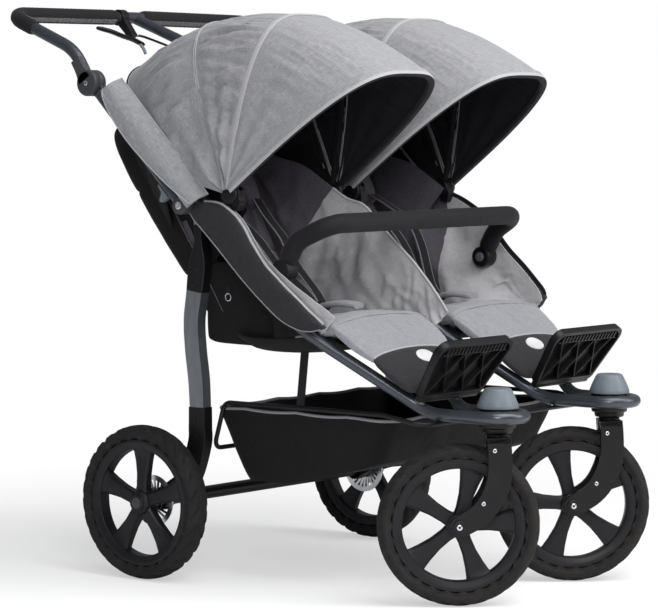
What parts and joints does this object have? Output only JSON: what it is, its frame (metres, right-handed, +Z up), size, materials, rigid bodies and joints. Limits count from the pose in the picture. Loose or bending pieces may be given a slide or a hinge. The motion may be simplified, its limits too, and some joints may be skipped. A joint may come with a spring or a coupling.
{
  "type": "side-by-side twin stroller",
  "caption": "Side-by-side twin stroller with castered front wheels, folding tube frame, reclining seats, arched canopies, bumper bar and under-seat basket.",
  "frame": {"origin": "on the ground under the middle of the footprint", "axes": "+X the stroller's left, -Y forward (the way the children face), +Z up"},
  "size_m": [0.7756, 1.1452, 1.1163],
  "materials": {
    "tube_paint": "satin dark blue-grey paint",
    "leg_aluminium": "brushed blue-grey anodised",
    "black_plastic": "moulded satin black",
    "grey_plastic": "blue-grey moulded",
    "tyre_rubber": "brown-black tread",
    "grey_fabric": "light grey melange weave",
    "charcoal_fabric": "charcoal weave",
    "black_fabric": "black weave",
    "foam": "black foam"
  },
  "bodies": {
    "chassis": {"basket_frame": "tube_paint", "basket": "black_fabric", "right_seat_tube": "tube_paint", "right_swivel_housing": "black_plastic", "right_seat_pad": "grey_fabric", "right_outer_side_panel": "charcoal_fabric", "right_inner_side_panel": "grey_fabric", "right_side_bag": "black_fabric", "right_canopy_back_panel": "grey_fabric", "right_canopy_middle_panel": "grey_fabric", "left_seat_tube": "tube_paint", "left_swivel_housing": "black_plastic", "left_seat_pad": "grey_fabric", "left_outer_side_panel": "charcoal_fabric", "left_inner_side_panel": "grey_fabric", "left_side_bag": "black_fabric", "left_canopy_back_panel": "grey_fabric", "left_canopy_middle_panel": "grey_fabric"},
    "push_frame": {"right_push_tube": "tube_paint", "centre_push_tube": "tube_paint", "left_push_tube": "tube_paint", "right_canopy_flap": "grey_fabric", "left_canopy_flap": "grey_fabric"},
    "handle": {"handlebar": "tube_paint", "right_grip": "foam", "left_grip": "foam", "brake_clamp": "black_plastic", "brake_cable": "black_plastic"},
    "brake_lever": {"brake_lever": "black_plastic"},
    "rear_legs": {"right_rear_leg": "leg_aluminium", "left_rear_leg": "leg_aluminium", "rear_axle": "black_plastic"},
    "bumper": {"bumper_bar": "foam"},
    "right_caster": {"right_fork": "black_plastic"},
    "right_front_wheel": {"right_front_rim": "black_plastic", "right_front_tyre": "tyre_rubber"},
    "right_rear_wheel": {"right_rear_rim": "black_plastic", "right_rear_tyre": "tyre_rubber"},
    "right_knob": {"right_swivel_knob": "grey_plastic"},
    "right_release": {"right_fold_release": "grey_plastic"},
    "right_back": {"right_backrest": "charcoal_fabric"},
    "right_foot": {"right_footrest": "black_plastic"},
    "right_button": {"right_bumper_button": "grey_plastic"},
    "right_middle_bow": {"right_canopy_middle_bow": "grey_fabric", "right_canopy_front_panel": "grey_fabric"},
    "right_front_bow": {"right_canopy_front_bow": "grey_fabric"},
    "left_caster": {"left_fork": "black_plastic"},
    "left_front_wheel": {"left_front_rim": "black_plastic", "left_front_tyre": "tyre_rubber"},
    "left_rear_wheel": {"left_rear_rim": "black_plastic", "left_rear_tyre": "tyre_rubber"},
    "left_knob": {"left_swivel_knob": "grey_plastic"},
    "left_release": {"left_fold_release": "grey_plastic"},
    "left_back": {"left_backrest": "charcoal_fabric"},
    "left_foot": {"left_footrest": "black_plastic"},
    "left_button": {"left_bumper_button": "grey_plastic"},
    "left_middle_bow": {"left_canopy_middle_bow": "grey_fabric", "left_canopy_front_panel": "grey_fabric"},
    "left_front_bow": {"left_canopy_front_bow": "grey_fabric"}
  },
  "joints": [
    {"name": "push_fold", "type": "hinge", "parent": "chassis", "child": "push_frame", "pos_m": [0, 0.10277, 0.728], "axis": [1, 0, 0], "range_deg": [0, 115]},
    {"name": "leg_fold", "type": "hinge", "parent": "chassis", "child": "rear_legs", "pos_m": [0, 0.10277, 0.728], "axis": [1, 0, 0], "range_deg": [-31.28, 0]},
    {"name": "handle_tilt", "type": "hinge", "parent": "push_frame", "child": "handle", "pos_m": [0, 0.33577, 0.961], "axis": [1, 0, 0], "range_deg": [-25, 25]},
    {"name": "brake_squeeze", "type": "hinge", "parent": "handle", "child": "brake_lever", "pos_m": [-0.035, 0.51777, 1.056], "axis": [-0.101, 0.5969, -0.7959], "range_deg": [0, 7], "stiffness_Nm_per_rad": 2},
    {"name": "bumper_turn", "type": "hinge", "parent": "chassis", "child": "bumper", "pos_m": [0, -0.11123, 0.61], "axis": [1, 0, 0], "range_deg": [-35, 30]},
    {"name": "right_caster_swivel", "type": "hinge", "parent": "chassis", "child": "right_caster", "pos_m": [-0.186, -0.50423, 0.313], "axis": [0, 0, 1], "continuous": true},
    {"name": "right_front_wheel_spin", "type": "hinge", "parent": "right_caster", "child": "right_front_wheel", "pos_m": [-0.23175, -0.44902, 0.15], "axis": [0.77, 0.6381, 0], "continuous": true},
    {"name": "right_rear_wheel_spin", "type": "hinge", "parent": "rear_legs", "child": "right_rear_wheel", "pos_m": [-0.3596, 0.21077, 0.15], "axis": [1, 0, 0], "continuous": true},
    {"name": "right_swivel_lock", "type": "hinge", "parent": "chassis", "child": "right_knob", "pos_m": [-0.186, -0.50423, 0.365], "axis": [0, 0, 1], "range_deg": [0, 45]},
    {"name": "right_fold_catch", "type": "slide", "parent": "push_frame", "child": "right_release", "axis": [0, 0.7071, 0.7071], "range_m": [0, 0.012], "stiffness_N_per_m": 900},
    {"name": "right_recline", "type": "hinge", "parent": "chassis", "child": "right_back", "pos_m": [-0.186, 0.05177, 0.492], "axis": [1, 0, 0], "range_deg": [-28, 12]},
    {"name": "right_footrest_tilt", "type": "hinge", "parent": "chassis", "child": "right_foot", "pos_m": [-0.186, -0.38923, 0.381], "axis": [1, 0, 0], "range_deg": [-35, 18]},
    {"name": "right_bumper_release", "type": "slide", "parent": "bumper", "child": "right_button", "axis": [-1, 0, 0], "range_m": [0, 0.003], "stiffness_N_per_m": 600},
    {"name": "right_canopy_front", "type": "hinge", "parent": "right_middle_bow", "child": "right_front_bow", "pos_m": [-0.18725, 0.00377, 0.75], "axis": [-1, 0, 0], "range_deg": [0, 35], "deforming": ["right_canopy_front_panel"]},
    {"name": "right_canopy_middle", "type": "hinge", "parent": "chassis", "child": "right_middle_bow", "pos_m": [-0.18725, 0.00377, 0.75], "axis": [-1, 0, 0], "range_deg": [0, 24.5], "deforming": ["right_canopy_middle_panel"]},
    {"name": "left_caster_swivel", "type": "hinge", "parent": "chassis", "child": "left_caster", "pos_m": [0.186, -0.50423, 0.313], "axis": [0, 0, 1], "continuous": true},
    {"name": "left_front_wheel_spin", "type": "hinge", "parent": "left_caster", "child": "left_front_wheel", "pos_m": [0.14025, -0.44902, 0.15], "axis": [0.77, 0.6381, 0], "continuous": true},
    {"name": "left_rear_wheel_spin", "type": "hinge", "parent": "rear_legs", "child": "left_rear_wheel", "pos_m": [0.3596, 0.21077, 0.15], "axis": [1, 0, 0], "continuous": true},
    {"name": "left_swivel_lock", "type": "hinge", "parent": "chassis", "child": "left_knob", "pos_m": [0.186, -0.50423, 0.365], "axis": [0, 0, 1], "range_deg": [0, 45]},
    {"name": "left_fold_catch", "type": "slide", "parent": "push_frame", "child": "left_release", "axis": [0, 0.7071, 0.7071], "range_m": [0, 0.012], "stiffness_N_per_m": 900},
    {"name": "left_recline", "type": "hinge", "parent": "chassis", "child": "left_back", "pos_m": [0.186, 0.05177, 0.492], "axis": [1, 0, 0], "range_deg": [-28, 12]},
    {"name": "left_footrest_tilt", "type": "hinge", "parent": "chassis", "child": "left_foot", "pos_m": [0.186, -0.38923, 0.381], "axis": [1, 0, 0], "range_deg": [-35, 18]},
    {"name": "left_bumper_release", "type": "slide", "parent": "bumper", "child": "left_button", "axis": [1, 0, 0], "range_m": [0, 0.003], "stiffness_N_per_m": 600},
    {"name": "left_canopy_front", "type": "hinge", "parent": "left_middle_bow", "child": "left_front_bow", "pos_m": [0.18725, 0.00377, 0.75], "axis": [-1, 0, 0], "range_deg": [0, 35], "deforming": ["left_canopy_front_panel"]},
    {"name": "left_canopy_middle", "type": "hinge", "parent": "chassis", "child": "left_middle_bow", "pos_m": [0.18725, 0.00377, 0.75], "axis": [-1, 0, 0], "range_deg": [0, 24.5], "deforming": ["left_canopy_middle_panel"]}
  ],
  "couplings": [
    {"joint": "leg_fold", "follows": "push_fold", "ratio": -0.272},
    {"joint": "right_canopy_middle", "follows": "right_canopy_front", "ratio": 0.7},
    {"joint": "left_canopy_middle", "follows": "left_canopy_front", "ratio": 0.7}
  ]
}
